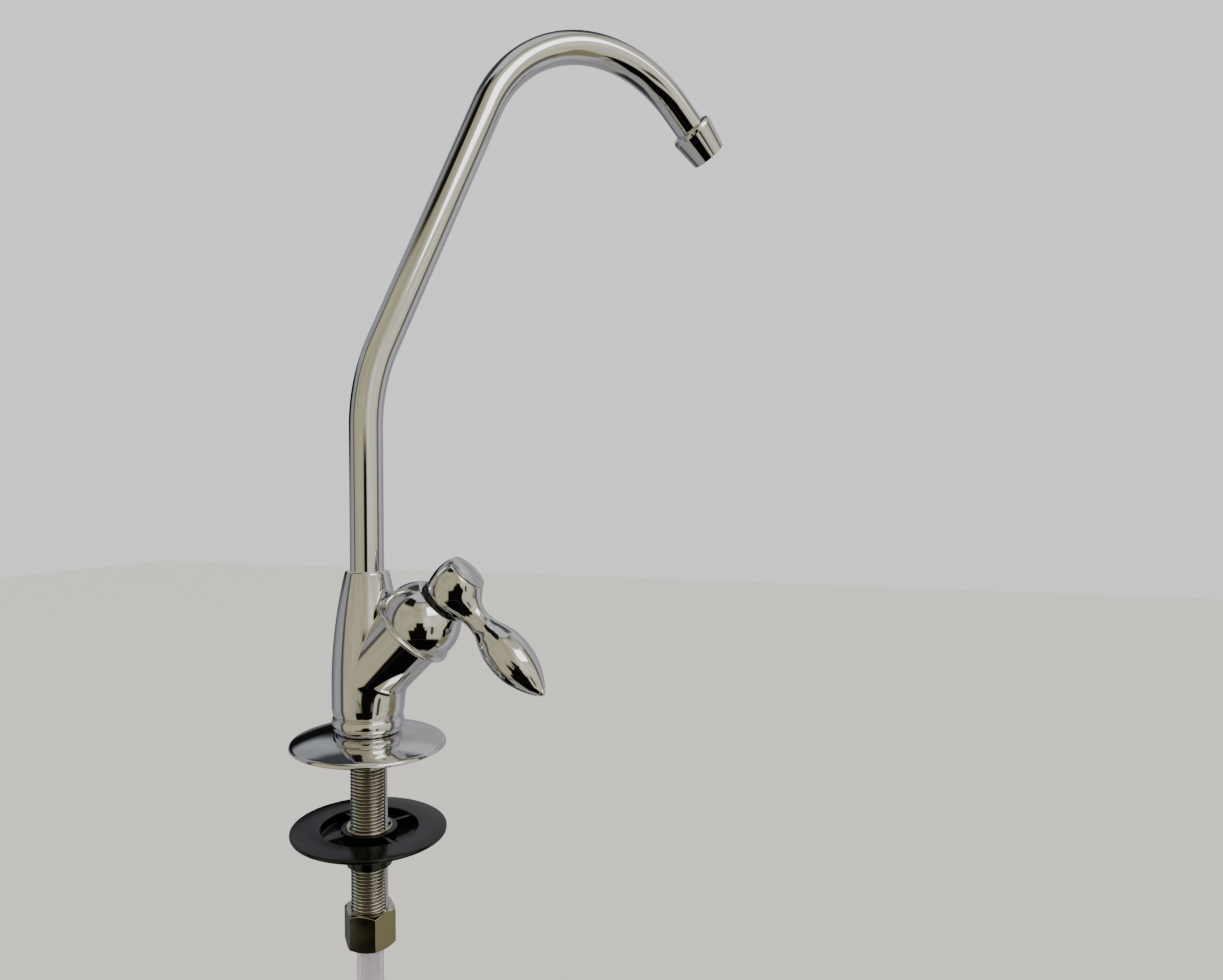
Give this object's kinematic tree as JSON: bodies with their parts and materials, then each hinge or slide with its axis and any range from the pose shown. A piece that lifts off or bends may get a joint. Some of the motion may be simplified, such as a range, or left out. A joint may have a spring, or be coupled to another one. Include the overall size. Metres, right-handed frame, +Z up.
{
  "type": "drinking water faucet",
  "caption": "Deck-mounted drinking water faucet with a swivelling gooseneck spout, a quarter-turn lever on a slanted valve, a threaded shank and its nuts.",
  "frame": {"origin": "centre of the plane that the escutcheon plate's rim rests on", "axes": "+Z up along the shank axis; +X on the side that the slanted valve leg leans towards"},
  "size_m": [0.1152, 0.121, 0.4747],
  "materials": {
    "body_chrome": "bright chromium plate on cast brass",
    "plate_chrome": "bright chromium plate on stamped steel",
    "bonnet_chrome": "bright chromium plate on turned brass",
    "handle_chrome": "bright chromium plate on cast zinc",
    "cap_chrome": "bright chromium plate",
    "spout_chrome": "bright chromium plate on bent brass tube",
    "nozzle_chrome": "bright chromium plate on turned brass",
    "nut_chrome": "bright nickel and chromium plate",
    "nickel": "nickel plate on rolled brass thread",
    "brass": "turned brass",
    "spring_steel": "plain stainless steel",
    "rubber": "moulded black rubber",
    "black_plastic": "moulded black plastic, polished",
    "white_plastic": "moulded natural acetal",
    "clear_tube": "extruded clear polyethylene",
    "alumina": "lapped ceramic"
  },
  "bodies": {
    "base": {"faucet_body": "body_chrome", "threaded_shank": "nickel", "escutcheon_plate": "plate_chrome", "escutcheon_gasket": "rubber", "compression_nut": "nut_chrome", "compression_ferrule": "white_plastic", "tube_insert": "brass", "supply_tube": "clear_tube", "cartridge_body": "brass", "cartridge_ring": "rubber", "disc_seal": "rubber", "fixed_disc": "alumina", "bonnet_dome": "bonnet_chrome", "glide_ring": "black_plastic", "spout_bush": "white_plastic"},
    "valve_stem": {"cartridge_stem": "brass", "stem_ring": "rubber", "stem_clip": "spring_steel", "moving_disc": "alumina", "lever_handle": "handle_chrome", "handle_screw": "spring_steel", "handle_cap": "cap_chrome"},
    "spout": {"spout_tube": "spout_chrome", "spout_spigot": "brass", "spout_ring_lower": "rubber", "spout_ring_upper": "rubber", "spout_clip": "spring_steel", "spout_nozzle": "nozzle_chrome", "flow_straightener": "white_plastic"},
    "clamp_nut": {"mounting_nut": "black_plastic", "nut_insert": "nickel"}
  },
  "joints": [
    {"name": "spout_swivel", "type": "hinge", "parent": "base", "child": "spout", "pos_m": [0, 0, 0.045], "axis": [0, 0, 1], "continuous": true},
    {"name": "lever_turn", "type": "hinge", "parent": "base", "child": "valve_stem", "pos_m": [0, 0, 0.02], "axis": [0.7071, 0, 0.7071], "range_deg": [0, 90]},
    {"name": "nut_travel", "type": "slide", "parent": "base", "child": "clamp_nut", "axis": [0, 0, 1], "range_m": [-0.012, 0.0242]}
  ]
}
